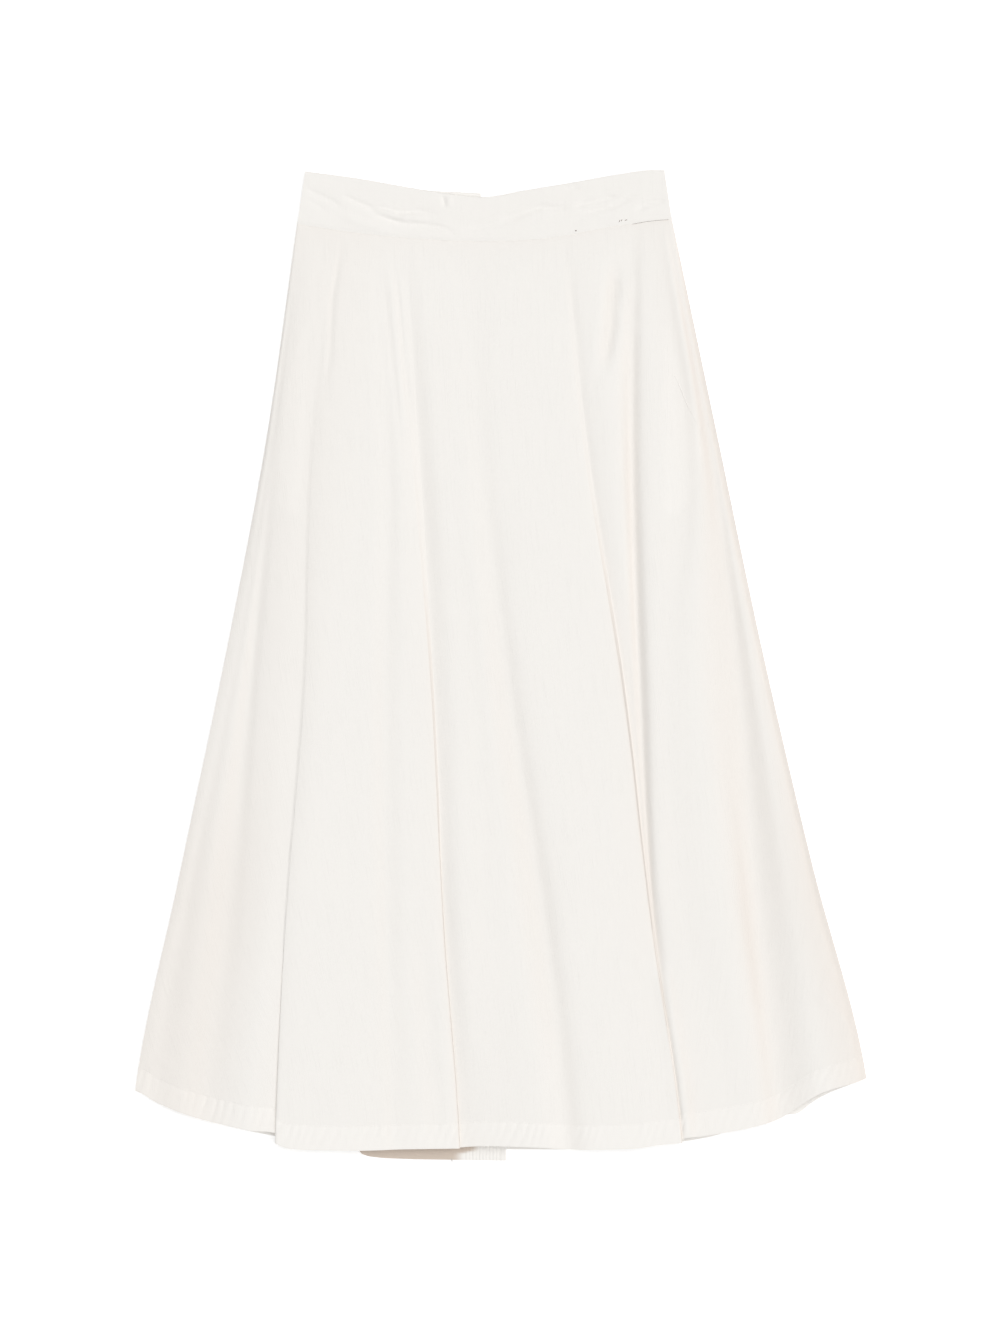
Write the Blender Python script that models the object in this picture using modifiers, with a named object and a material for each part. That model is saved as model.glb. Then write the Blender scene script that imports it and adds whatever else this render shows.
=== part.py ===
"""A maxi skirt of white cotton, laid flat on its back, built in Blender.

The waist points along +Y, the hem along -Y, and the wearer's left is at +X. Z is up, and z = 0 is the
surface that the skirt lies on. The origin is the middle of the skirt's outline, on that surface.
"""

from collections import namedtuple

import bpy
import numpy as np
from mathutils import Matrix

MM = 0.001

# Driving sizes, in millimetres
CLOTH = 1.0            # one layer of cloth
HEM_CLOTH = 1.2        # the turned-up hem, which is double
BAND_CLOTH = 2.0       # the waistband, double and interfaced
GAP = 0.3              # between pieces at a seam
HEM_DEPTH = 25.0
HEM_STEP = 1.2         # the run over which the wall thickens to the hem
SEAM_HEIGHT = 3.4      # the front cloth's middle at the waist seam
FRONT_ROWS = 22        # steps of the front panel from waist seam to hem turn-up
COLUMN_WIDTH = 14.0    # the widest step across the front panel at the hem
LEAST_STEP = 0.05      # between lines of the front, where they meet
BACK_ROWS = 12
BAND_ROWS = 4
BAND_COLUMNS = 26
ZIP_LENGTH = 190.0
ZIP_WIDTH = 12.0
ZIP_THICK = 1.0
ZIP_BELOW_SEAM = 6.0   # from the waist seam down to the zip's upper end
POCKET_THICK = 1.0

# A line of the front cloth from waist seam to hem. x0 to x4 are where it runs across the skirt at the
# waist, at each quarter of the way down and at the hem. z1 to z4 are the height of the cloth's middle at
# the last four. hem_y is where the line ends. tuck is how far the cloth runs back under a folded edge at
# the hem, positive for an edge that faces left, and tuck_from is where that starts.
Line = namedtuple("Line", "name x0 x1 x2 x3 x4 z1 z2 z3 z4 hem_y tuck tuck_from", defaults=(0.0, 0.0))

FRONT_LINES = [
    Line("left side seam", -192.4, -223.3, -262.2, -305.4, -347.5, 2.6, 2.8, 2.8, 3.2, -404.0),
    Line("left side roll", -190.6, -219.8, -255.0, -300.0, -336.0, 4.2, 4.8, 4.6, 5.4, -415.0),
    Line("left outer valley", -189.2, -217.6, -250.5, -294.0, -321.0, 4.8, 5.8, 5.6, 4.2, -422.0),
    Line("left side crest", -187.6, -215.2, -245.0, -279.0, -294.0, 5.6, 6.6, 8.0, 7.6, -429.5),
    Line("left valley", -184.8, -212.4, -233.5, -251.0, -270.0, 5.8, 4.6, 4.6, 4.4, -436.0),
    Line("left slope", -182.0, -206.0, -226.0, -242.0, -260.0, 7.6, 7.2, 7.2, 6.4, -439.0),
    Line("left crest", -175.0, -194.0, -208.0, -222.8, -240.0, 9.2, 9.0, 8.8, 7.8, -441.0),
    Line("floor left of first fold", -164.0, -181.0, -188.0, -204.0, -215.5, 8.2, 7.5, 6.8, 4.4, -443.0),
    Line("first fold", -158.0, -177.0, -184.6, -202.0, -213.0, 9.4, 9.4, 8.9, 7.6, -453.0, 20.0, 0.55),
    Line("shoulder of first fold", -150.0, -168.0, -174.6, -192.0, -203.5, 10.8, 11.2, 11.0, 10.2, -457.5),
    Line("left panel crest", -138.0, -130.0, -137.0, -147.0, -151.5, 11.4, 11.9, 11.9, 11.2, -460.0),
    Line("left panel flat", -124.0, -119.0, -121.0, -118.7, -112.0, 11.4, 11.8, 11.8, 11.0, -459.5),
    Line("left panel dip", -116.5, -105.0, -109.0, -106.5, -100.0, 10.4, 10.6, 10.4, 9.9, -459.0),
    Line("shoulder of second fold", -109.0, -95.5, -92.0, -90.0, -84.0, 11.2, 11.8, 11.6, 10.8, -458.5),
    Line("second fold", -100.0, -85.5, -65.6, -54.5, -43.5, 9.8, 9.6, 9.4, 8.8, -458.0, -9.0, 0.6),
    Line("floor right of second fold", -95.0, -78.5, -60.5, -50.5, -39.0, 7.4, 6.4, 6.2, 5.6, -457.0),
    Line("centre left crest", -84.0, -63.0, -46.0, -39.0, -28.0, 10.0, 10.0, 9.8, 8.6, -456.0),
    Line("centre left flat", -64.0, -45.0, -24.0, -12.0, 0.0, 10.8, 11.2, 11.2, 10.4, -456.0),
    Line("left of the centre dip", -48.0, -32.0, -10.0, 20.0, 42.0, 10.8, 11.4, 11.4, 10.9, -457.5),
    Line("centre dip", -30.0, -16.0, 9.5, 42.0, 65.0, 9.8, 8.9, 8.4, 8.2, -459.0),
    Line("right of the centre dip", -8.0, 0.0, 24.0, 57.0, 82.0, 10.8, 11.2, 11.2, 10.8, -459.4),
    Line("centre right crest", 26.0, 48.0, 80.0, 108.0, 130.0, 11.2, 11.6, 11.4, 10.8, -458.0),
    Line("shoulder of third fold", 43.0, 68.0, 101.0, 127.5, 150.0, 11.0, 11.2, 10.6, 10.2, -455.0),
    Line("third fold", 56.0, 81.0, 113.0, 138.0, 163.0, 10.2, 9.8, 8.8, 8.6, -453.0, -21.0, 0.75),
    Line("slope below third fold", 61.5, 85.5, 116.5, 140.0, 167.0, 8.9, 7.6, 4.8, 5.4, -450.0),
    Line("bank right of third fold", 69.0, 92.5, 121.0, 141.5, 171.0, 10.2, 8.8, 4.6, 5.5, -449.8),
    Line("ridge in the deep fold", 108.0, 114.0, 126.0, 142.6, 176.0, 10.4, 8.5, 4.2, 5.6, -449.5),
    Line("floor of the deep fold", 127.5, 125.0, 133.0, 144.4, 182.0, 3.9, 3.3, 2.8, 5.6, -448.5),
    Line("right crest", 136.0, 135.0, 141.0, 149.0, 202.0, 9.6, 9.4, 8.8, 6.2, -446.0),
    Line("right dip", 149.0, 176.0, 161.0, 173.0, 224.0, 9.4, 10.6, 10.6, 7.8, -440.0),
    Line("right flat", 154.4, 189.0, 192.0, 218.0, 248.0, 10.6, 10.9, 11.0, 9.2, -434.0),
    Line("right valley", 157.6, 197.6, 222.5, 247.5, 276.0, 7.2, 5.2, 4.6, 4.6, -423.0),
    Line("right side crest", 159.8, 201.6, 231.5, 262.0, 296.0, 6.4, 7.0, 7.4, 7.0, -413.0),
    Line("right side roll", 161.4, 203.8, 243.0, 288.3, 330.0, 4.8, 5.0, 5.4, 5.2, -400.5),
    Line("right side seam", 163.0, 205.7, 248.4, 295.9, 347.5, 2.6, 2.8, 2.8, 3.2, -392.0),
]

CENTRE_WAIST_Y = 402.6
LONGEST_HEM_Y = -460.0

# Outlines of the waist, each a list of (x, y) that a smooth line runs through
WAIST_SEAM = [(-192.4, 419.0), (-146.0, 412.0), (-80.0, 405.2), (-15.0, CENTRE_WAIST_Y), (50.0, 406.2),
              (110.0, 415.2), (163.0, 421.0)]
FRONT_BAND_TOP = [(-185.0, 469.0), (-136.0, 462.5), (-91.0, 454.6), (-45.0, 447.2), (-15.0, 444.8),
                  (23.0, 451.0), (69.0, 458.6), (114.5, 466.6), (143.0, 470.3), (156.0, 470.0)]
BACK_LEFT_BAND_TOP = [(-185.0, 468.6), (-136.0, 462.0), (-91.0, 454.2), (-59.0, 450.4), (-40.0, 449.6),
                      (-18.0, 448.4)]
BACK_RIGHT_BAND_TOP = [(-18.0, 443.4), (23.0, 450.2), (69.0, 457.8), (114.5, 465.8), (143.0, 470.0),
                       (156.0, 470.5)]

# The back hem dips below the front hem at both sides of the centre back seam and shows there
BACK_LEFT_HEM = [(-347.5, -404.0), (-286.0, -430.0), (-214.0, -447.0), (-150.0, -456.0), (-136.0, -458.0),
                 (-132.0, -466.0), (-118.0, -468.8), (-60.0, -470.2), (6.0, -470.4)]
BACK_RIGHT_HEM = [(6.0, -459.6), (90.0, -459.0), (150.0, -454.6), (190.0, -449.6), (204.0, -446.6),
                  (224.0, -439.6), (268.0, -427.0), (286.0, -423.6), (292.0, -418.6), (347.5, -392.0)]

CENTRE_BACK = (-18.0, 6.0)       # x of the centre back seam at the waist and at the hem
QUARTERS = np.linspace(0.0, 1.0, 5)
HEM_SLANT = 0.6                  # how much of their slant the front's lines keep at the hem
RISE = 1.7                       # how steeply folds grow at the waist
FOLD_LEAN = 4.0                  # lean of the slope below a folded edge, where no cloth is tucked under
FOLD_TURN = 1.5                  # from the cloth at a folded edge down to its turned layer

# Pocket bags: corners of each bag's outline, going round
RIGHT_POCKET = [(152.0, 326.0), (165.0, 326.0), (180.0, 268.0), (196.0, 188.0), (189.0, 156.0),
                (172.0, 141.0), (156.0, 138.0), (148.0, 160.0)]
LEFT_POCKET = [(-191.0, 326.0), (-178.0, 326.0), (-182.0, 160.0), (-188.0, 138.0), (-204.0, 141.0),
               (-217.0, 156.0), (-217.0, 188.0), (-205.0, 268.0)]


def smoothstep(t):
    t = np.clip(t, 0.0, 1.0)
    return t * t * (3.0 - 2.0 * t)


def curve_at(points, x):
    """y of the smooth line through points, at each x: a cubic between neighbours, with their mean slope."""
    px, py = np.array(points, float).T
    slope = np.gradient(py, px)
    return hermite(px, py, slope, np.asarray(x, float))


def hermite(knots, values, slopes, x):
    i = np.clip(np.searchsorted(knots, x) - 1, 0, len(knots) - 2)
    width = knots[i + 1] - knots[i]
    t = (x - knots[i]) / width
    rise = values[i + 1] - values[i]
    start, end = slopes[i] * width, slopes[i + 1] * width
    return values[i] + t * start + t * t * (3 * rise - 2 * start - end) + t**3 * (start + end - 2 * rise)


def line_points(line, v):
    """The (x, y, z) of one line of the front cloth at each share v of the way down."""
    across = np.array([line.x0, line.x1, line.x2, line.x3, line.x4])
    slant = np.gradient(across, QUARTERS)
    slant[-1] *= HEM_SLANT
    x = hermite(QUARTERS, across, slant, v)
    y0 = curve_at(WAIST_SEAM, line.x0)
    y = y0 + (line.hem_y - y0) * v
    start = line.z1 if "side seam" in line.name else SEAM_HEIGHT
    levels = np.array([start, line.z1, line.z2, line.z3, line.z4])
    slopes = np.gradient(levels, QUARTERS)
    slopes[0] = (line.z1 - start) / QUARTERS[1] * RISE
    z = hermite(QUARTERS, levels, slopes, v)
    return np.stack([x, y, z], axis=1)


def fold_points(line, below, v):
    """Four points round a folded edge, from its upper side to where the tucked cloth turns again over the
    line below: they lie in a slope at the waist, and in flat layers at the hem."""
    edge = line_points(line, v)
    facing = np.sign(line.tuck)
    share = smoothstep((v - line.tuck_from) / (1.0 - line.tuck_from))
    top = edge[:, 2]
    floor = line_points(below, v)
    drop = top - floor[:, 2]
    places = [(0.0, 0.0, 0.0, 0.0), (0.0, 0.34, 0.34, FOLD_TURN), (1.0, 0.67, 0.62, drop - FOLD_TURN),
              (1.0, 1.0, 0.86, drop)]
    points = []
    for tucked, slope_run, slope_fall, layer_fall in places:
        point = edge.copy()
        point[:, 0] += facing * (tucked * abs(line.tuck) * share - FOLD_LEAN * slope_run * (1.0 - share))
        point[:, 1] += (floor[:, 1] - edge[:, 1]) * slope_run * (1.0 - share)
        point[:, 2] = top - (slope_fall * drop * (1.0 - share) + layer_fall * share)
        points.append(point)
    return points if facing < 0 else points[::-1]


def front_controls(v):
    """Every line of the front cloth, left to right as the cloth runs: an array of lines by rows by xyz."""
    controls = []
    for i, line in enumerate(FRONT_LINES):
        if line.tuck:
            controls += fold_points(line, FRONT_LINES[i - int(np.sign(line.tuck))], v)
        else:
            controls.append(line_points(line, v))
    return np.array(controls)


def across_cloth(controls):
    """Points on a smooth curve through the lines at each row, with more of them between lines far apart."""
    gaps = np.maximum(np.linalg.norm(np.diff(controls, axis=0), axis=2), LEAST_STEP)
    knots = np.concatenate([np.zeros((1, gaps.shape[1])), np.cumsum(np.sqrt(gaps), axis=0)])
    steps = np.maximum(2, np.round(gaps[:, -1] / COLUMN_WIDTH)).astype(int)
    slopes = np.empty_like(controls)
    for row in range(controls.shape[1]):
        slopes[:, row] = np.gradient(controls[:, row], knots[:, row], axis=0)
    columns = []
    for i, count in enumerate(steps):
        width = (knots[i + 1] - knots[i])[:, None]
        rise = controls[i + 1] - controls[i]
        start, end = slopes[i] * width, slopes[i + 1] * width
        for t in np.arange(count) / count:
            columns.append(controls[i] + t * start + t * t * (3 * rise - 2 * start - end)
                           + t**3 * (start + end - 2 * rise))
    columns.append(controls[-1])
    return np.array(columns)


def hem_shares(rows, length):
    """Shares of the way down: even rows to the turn-up, then its step and the hem's edge."""
    top = 1.0 - HEM_DEPTH / length
    return np.concatenate([np.linspace(0.0, top, rows), [top + HEM_STEP / length, 1.0]])


def cotton(name, colour, roughness):
    material = bpy.data.materials.new(name)
    material.use_nodes = True
    shader = material.node_tree.nodes["Principled BSDF"]
    shader.inputs["Base Color"].default_value = (*colour, 1.0)
    shader.inputs["Roughness"].default_value = roughness
    shader.inputs["Metallic"].default_value = 0.0
    return material


def cloth_wall(name, columns, layers, side, material, collection):
    """A wall of cloth on a grid of points, in millimetres: columns by rows by xyz. layers is its thickness
    at each row. side is 1 where the points are on its lower face and 0 where they are in its middle."""
    count, rows = columns.shape[:2]
    corners = [tuple(p * MM) for p in columns.reshape(-1, 3)]
    faces = [(c * rows + r, c * rows + r + 1, (c + 1) * rows + r + 1, (c + 1) * rows + r)
             for c in range(count - 1) for r in range(rows - 1)]
    mesh = bpy.data.meshes.new(name)
    mesh.from_pydata(corners, [], faces)
    mesh.materials.append(material)
    mesh.shade_smooth()
    piece = bpy.data.objects.new(name, mesh)
    collection.objects.link(piece)
    group = piece.vertex_groups.new(name="thickness")
    for row, layer in enumerate(layers):
        group.add([c * rows + row for c in range(count)], layer / max(layers), "REPLACE")
    solid = piece.modifiers.new("wall", "SOLIDIFY")
    solid.thickness = max(layers) * MM
    solid.offset = side
    solid.vertex_group = group.name
    solid.thickness_vertex_group = 0.0
    return piece


def panel_layers(rows):
    return [CLOTH] * (rows - 2) + [HEM_CLOTH] * 2


def front_panel(material, collection):
    v = hem_shares(FRONT_ROWS, CENTRE_WAIST_Y - LONGEST_HEM_Y)
    columns = across_cloth(front_controls(v))
    columns[:, 0, 1] -= GAP
    return cloth_wall("front_panel", columns, panel_layers(len(v)), 0, material, collection)


def flat_columns(tops, bottoms, rows, seam_gap):
    """A flat grid on z = 0 between an upper and a lower line of points."""
    v = np.asarray(rows)[None, :, None]
    upper = np.array(tops) - (0.0, seam_gap)
    flat = upper[:, None] + (np.array(bottoms) - upper)[:, None] * v
    return np.concatenate([flat, np.zeros(flat.shape[:2] + (1,))], axis=2)


def along_outline(points, extra):
    """Points on the smooth line through an outline: its own, with extra ones between."""
    x = np.array([p[0] for p in points])
    spread = np.concatenate([np.linspace(a, b, extra + 1, endpoint=False) for a, b in zip(x, x[1:])])
    spread = np.append(spread, x[-1])
    return spread, curve_at(points, spread)


def back_panel(name, hem, waist_from, waist_to, side, material, collection):
    """Half of the back, flat on the floor, from the waist seam to its own hem. side is its outer seam."""
    x, y = along_outline(hem, 1)
    shares = (x - x[0]) / (x[-1] - x[0])
    waist = waist_from + (waist_to - waist_from) * shares
    tops = np.stack([waist, curve_at(WAIST_SEAM, waist)], axis=1)
    length = tops[0, 1] - y[0]
    v = hem_shares(BACK_ROWS, length)
    columns = flat_columns(tops, np.stack([x, y], axis=1), v, GAP)
    outer = line_points(side, v)[:, 0]
    column = 0 if side.x0 < 0 else -1
    bulge = outer - columns[column, :, 0]
    reach = 1.0 - shares if side.x0 < 0 else shares
    columns[:, :, 0] += reach[:, None] * bulge[None, :]
    return cloth_wall(name, columns, panel_layers(len(v)), 1, material, collection)


def waistband(name, top, left, right, height, material, collection):
    """A length of waistband between two points of the waist seam, its lower side at the given height."""
    bottom_x = np.linspace(left, right, BAND_COLUMNS)
    top_x = np.linspace(top[0][0], top[-1][0], BAND_COLUMNS)
    tops = np.stack([top_x, curve_at(top, top_x)], axis=1)
    bottoms = np.stack([bottom_x, curve_at(WAIST_SEAM, bottom_x)], axis=1)
    columns = flat_columns(tops, bottoms, np.linspace(0.0, 1.0, BAND_ROWS), 0.0)
    columns[:, :, 2] = height
    return cloth_wall(name, columns, [BAND_CLOTH] * BAND_ROWS, 1, material, collection)


def flat_bag(name, outline, height, material, collection):
    """A pocket bag pressed flat: a closed smooth outline with the bag's thickness, made of a filled curve."""
    data = bpy.data.curves.new(name, "CURVE")
    data.dimensions = "2D"
    data.fill_mode = "BOTH"
    data.extrude = POCKET_THICK / 2 * MM
    data.resolution_u = 4
    spline = data.splines.new("BEZIER")
    spline.bezier_points.add(len(outline) - 1)
    for point, (x, y) in zip(spline.bezier_points, outline):
        point.co = (x * MM, y * MM, 0.0)
        point.handle_left_type = point.handle_right_type = "AUTO"
    spline.use_cyclic_u = True
    data.materials.append(material)
    bag = bpy.data.objects.new(name, data)
    bag.location.z = (height + POCKET_THICK / 2) * MM
    collection.objects.link(bag)
    return bag


def zip_tape(material, collection):
    """The concealed zip's tape, inside the centre back seam and in line with it."""
    top_y = CENTRE_WAIST_Y - ZIP_BELOW_SEAM
    lean = (CENTRE_BACK[1] - CENTRE_BACK[0]) / (CENTRE_WAIST_Y - BACK_LEFT_HEM[-1][1])
    bpy.ops.mesh.primitive_cube_add(size=1.0)
    tape = bpy.context.object
    tape.name = tape.data.name = "back_zip"
    tape.data.transform(Matrix.Diagonal((ZIP_WIDTH * MM, ZIP_LENGTH * MM, ZIP_THICK * MM, 1.0)))
    tape.rotation_euler.z = np.arctan(lean)
    tape.location = np.array([CENTRE_BACK[0] + lean * ZIP_LENGTH / 2, top_y - ZIP_LENGTH / 2,
                              CLOTH + GAP + ZIP_THICK / 2]) * MM
    tape.data.materials.append(material)
    for old in list(tape.users_collection):
        old.objects.unlink(tape)
    collection.objects.link(tape)
    return tape


def build():
    for obj in list(bpy.data.objects):
        bpy.data.objects.remove(obj, do_unlink=True)
    skirt = bpy.data.collections.new("maxi_skirt")
    bpy.context.scene.collection.children.link(skirt)
    body = cotton("skirt cotton", (0.90, 0.875, 0.835), 0.85)
    band = cotton("waistband cotton", (0.91, 0.88, 0.845), 0.85)
    lining = cotton("pocket cotton", (0.92, 0.90, 0.87), 0.85)
    tape = cotton("zip tape", (0.88, 0.86, 0.83), 0.7)

    front_panel(body, skirt)
    centre = GAP / 2
    left_hem = BACK_LEFT_HEM[:-1] + [(CENTRE_BACK[1] - centre, BACK_LEFT_HEM[-1][1])]
    right_hem = [(CENTRE_BACK[1] + centre, BACK_RIGHT_HEM[0][1])] + BACK_RIGHT_HEM[1:]
    back_panel("back_left_panel", left_hem, WAIST_SEAM[0][0], CENTRE_BACK[0] - centre,
               FRONT_LINES[0], body, skirt)
    back_panel("back_right_panel", right_hem, CENTRE_BACK[0] + centre, WAIST_SEAM[-1][0],
               FRONT_LINES[-1], body, skirt)

    front_band_height = SEAM_HEIGHT - BAND_CLOTH / 2
    waistband("waistband_front", FRONT_BAND_TOP, WAIST_SEAM[0][0], WAIST_SEAM[-1][0],
              front_band_height, band, skirt)
    left_top = BACK_LEFT_BAND_TOP[:-1] + [(CENTRE_BACK[0] - centre, BACK_LEFT_BAND_TOP[-1][1])]
    right_top = [(CENTRE_BACK[0] + centre, BACK_RIGHT_BAND_TOP[0][1])] + BACK_RIGHT_BAND_TOP[1:]
    waistband("waistband_back_left", left_top, WAIST_SEAM[0][0], CENTRE_BACK[0] - centre, 0.0, band, skirt)
    waistband("waistband_back_right", right_top, CENTRE_BACK[0] + centre, WAIST_SEAM[-1][0], 0.0,
              band, skirt)

    flat_bag("pocket_bag_left", LEFT_POCKET, CLOTH + GAP, lining, skirt)
    flat_bag("pocket_bag_right", RIGHT_POCKET, CLOTH + GAP, lining, skirt)
    zip_tape(tape, skirt)


build()
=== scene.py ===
# Maxi skirt of warm white cotton, laid flat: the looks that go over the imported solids.
# The waist points along +Y, the wearer's left is at +X, and the skirt lies on z = 0.
import math
from collections import namedtuple

import bmesh
import bpy
import numpy as np
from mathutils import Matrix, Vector, noise


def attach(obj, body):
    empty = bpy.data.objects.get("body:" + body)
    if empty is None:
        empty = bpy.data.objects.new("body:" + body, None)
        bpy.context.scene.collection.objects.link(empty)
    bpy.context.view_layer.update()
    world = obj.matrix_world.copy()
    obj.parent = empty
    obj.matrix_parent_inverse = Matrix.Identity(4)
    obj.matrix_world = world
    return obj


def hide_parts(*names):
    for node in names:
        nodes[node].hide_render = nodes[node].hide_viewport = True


mm = 0.001
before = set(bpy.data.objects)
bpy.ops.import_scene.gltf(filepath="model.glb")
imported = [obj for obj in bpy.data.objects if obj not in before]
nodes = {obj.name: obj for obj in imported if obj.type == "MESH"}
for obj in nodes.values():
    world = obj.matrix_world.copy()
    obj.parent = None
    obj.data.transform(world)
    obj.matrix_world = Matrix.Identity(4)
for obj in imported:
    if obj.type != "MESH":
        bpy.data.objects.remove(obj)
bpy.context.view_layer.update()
print("frame loaded:", len(nodes), "nodes")

view = {
    "middle": (499.5, 665),  # pixel of the photograph at the skirt's middle
    "imageMiddle": (499.5, 666.5),
    "pixel": 0.95,  # millimetres of skirt to a pixel
    "imageHeight": 1334,
    "distance": 5,  # metres from the floor
    "sensor": 36,
}


def place(px, py):
    # millimetres on the skirt for a pixel of the photograph
    return (px - view["middle"][0]) * view["pixel"], (view["middle"][1] - py) * view["pixel"]


def makeCamera():
    data = bpy.data.cameras.new("camera")
    data.sensor_width = view["sensor"]
    tall = view["imageHeight"] * view["pixel"] * mm
    data.lens = view["sensor"] * view["distance"] / tall
    camera = bpy.data.objects.new("camera", data)
    x, y = place(*view["imageMiddle"])
    camera.location = (x * mm, y * mm, view["distance"])
    bpy.context.scene.collection.objects.link(camera)
    bpy.context.scene.camera = camera


light = {
    "sky": 0.2,
    "skyColour": (1, 0.995, 0.99),
    "strength": 2.58,
    "spread": 105,  # degrees
    "tilt": (0.25, 0.05),  # shares off the vertical
}
ground = {
    "size": 14,  # metres
    "drop": 0.0004,  # below the skirt
    "paint": {"Base Color": (0.98, 0.98, 0.98, 1), "Roughness": 1, "Specular IOR Level": 0,
              "Emission Color": (1, 1, 1, 1), "Emission Strength": 0.2},
}


def makeStudio():
    scene = bpy.context.scene
    scene.view_settings.view_transform = "Standard"
    world = bpy.data.worlds.new("studio")
    world.use_nodes = True
    sky = world.node_tree.nodes["Background"]
    sky.inputs["Color"].default_value = (*light["skyColour"], 1)
    sky.inputs["Strength"].default_value = light["sky"]
    scene.world = world
    data = bpy.data.lights.new("overhead", "SUN")
    data.energy = light["strength"]
    data.angle = math.radians(light["spread"])
    lamp = bpy.data.objects.new("overhead", data)
    lamp.rotation_euler = Vector((*light["tilt"], 1)).to_track_quat("Z", "Y").to_euler()
    scene.collection.objects.link(lamp)

    bpy.ops.mesh.primitive_plane_add(size=ground["size"])
    floor = bpy.context.object
    floor.name = "floor"
    floor.location.z = -ground["drop"]
    floor.data.materials.append(Finish("studio floor").finish(**ground["paint"]))


# Shader maths: a Value is a socket that takes part in Python arithmetic
class Value:
    def __init__(self, shader, socket):
        self.shader = shader
        self.socket = socket

    def __add__(self, other):
        return self.shader.maths("ADD", self, other)

    def __sub__(self, other):
        return self.shader.maths("SUBTRACT", self, other)

    def __rsub__(self, other):
        return self.shader.maths("SUBTRACT", other, self)

    def __mul__(self, other):
        return self.shader.maths("MULTIPLY", self, other)

    def __truediv__(self, other):
        return self.shader.maths("DIVIDE", self, other)


class Finish:
    def __init__(self, name):
        self.material = bpy.data.materials.new(name)
        self.material.use_nodes = True
        self.tree = self.material.node_tree
        self.tree.nodes.clear()

    def node(self, kind, settings=None, sockets=None):
        made = self.tree.nodes.new(kind)
        for key, setting in (settings or {}).items():
            setattr(made, key, setting)
        for key, value in (sockets or {}).items():
            if isinstance(value, Value):
                self.tree.links.new(value.socket, made.inputs[key])
            else:
                made.inputs[key].default_value = value
        return made

    def out(self, made, key=0):
        return Value(self, made.outputs[key])

    def maths(self, operation, *values):
        sockets = dict(enumerate(values))
        return self.out(self.node("ShaderNodeMath", {"operation": operation}, sockets))

    def soft(self, value, low, high):
        # 0 below low, 1 above high, smooth between
        sockets = {"Value": value, "From Min": low, "From Max": high}
        settings = {"interpolation_type": "SMOOTHSTEP"}
        return self.out(self.node("ShaderNodeMapRange", settings, sockets))

    def colours(self, share, first, second, way="MIX"):
        sockets = {0: share, 6: first, 7: second}
        made = self.node("ShaderNodeMix", {"data_type": "RGBA", "blend_type": way}, sockets)
        return self.out(made, 2)

    def attribute(self, name):
        return self.out(self.node("ShaderNodeAttribute", {"attribute_name": name}), "Fac")

    def split(self, vector):
        made = self.node("ShaderNodeSeparateXYZ", None, {0: vector})
        return self.out(made, 0), self.out(made, 1)

    def join(self, x, y, z=0):
        return self.out(self.node("ShaderNodeCombineXYZ", None, {0: x, 1: y, 2: z}))

    def grain(self, vector, scale, detail=2, roughness=0.5):
        sockets = {"Vector": vector, "Scale": scale, "Detail": detail, "Roughness": roughness}
        return self.out(self.node("ShaderNodeTexNoise", None, sockets), "Fac")

    def bump(self, height, distance, under=None, strength=1):
        # a rise of distance metres at full height, over another bump
        sockets = {"Strength": strength, "Distance": distance, "Height": height}
        if under:
            sockets["Normal"] = under
        return self.out(self.node("ShaderNodeBump", None, sockets))

    def finish(self, **sockets):
        shader = self.node("ShaderNodeBsdfPrincipled", None, sockets)
        output = self.node("ShaderNodeOutputMaterial")
        self.tree.links.new(shader.outputs[0], output.inputs["Surface"])
        return self.material


cotton = {
    "thread": 0.00052,  # metres from thread to thread
    "open": (0.925, 0.902, 0.866, 1),
    "deep": (0.925, 0.868, 0.812, 1),  # painted shade: the warmer, darker colour of cloth deep in a fold, lit through cloth
    "inside": (0.65, 0.555, 0.475, 1),  # painted shadow on the hem's inside, in the dark between front and back
    "slubLength": 0.045,
    "slubsAcross": 900,  # slubs and other grain in a metre
    "slubsDown": 800,
    "crumples": 38,
    "patches": 7,
    "weaveBump": 0.00006,
    "slubBump": 0.00008,
    "crumpleBump": 0.0004,
    # how much brightness each of these adds or takes
    "levels": {"slub": 0.006, "patches": 0.012, "weave": 0.006, "pocket": 0.02, "shade": 0.06},
}


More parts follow.
